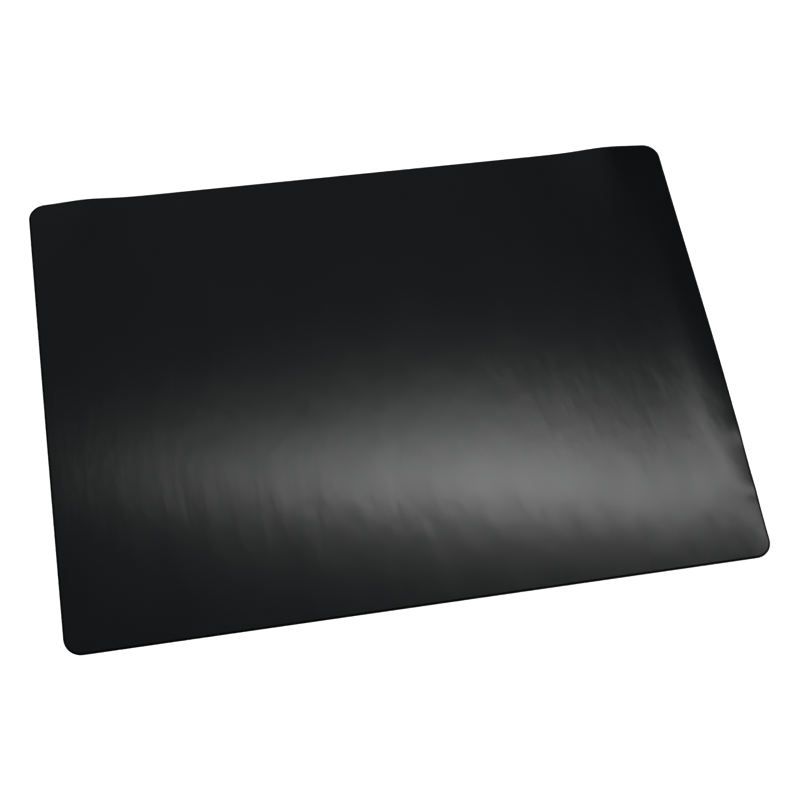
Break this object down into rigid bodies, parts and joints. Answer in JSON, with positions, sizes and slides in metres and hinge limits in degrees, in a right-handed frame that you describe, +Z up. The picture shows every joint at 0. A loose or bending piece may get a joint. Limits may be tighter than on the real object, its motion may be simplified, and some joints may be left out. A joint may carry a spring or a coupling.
{
  "type": "desk mat",
  "caption": "Thin flexible laminated desk mat with rounded corners, a satin vinyl writing face and a non-slip foam back.",
  "frame": {"origin": "centre of the underside, on the plane that the mat rests on", "axes": "+X along the long side, +Y towards the far long edge, +Z up through the thickness"},
  "size_m": [0.6096, 0.4318, 0.0032],
  "materials": {
    "vinyl": "satin black calendered vinyl with a very fine grain",
    "fabric": "dark grey plain-weave polyester, hidden but for its cut edge",
    "glue": "smoked hot-melt film, hidden but for its cut edge",
    "foam": "dull black closed-cell foam with small raised grip pips"
  },
  "bodies": {
    "root": {"writing_sheet": "vinyl", "carrier_fabric": "fabric", "glue_film": "glue", "foam_backing": "foam"}
  },
  "joints": []
}
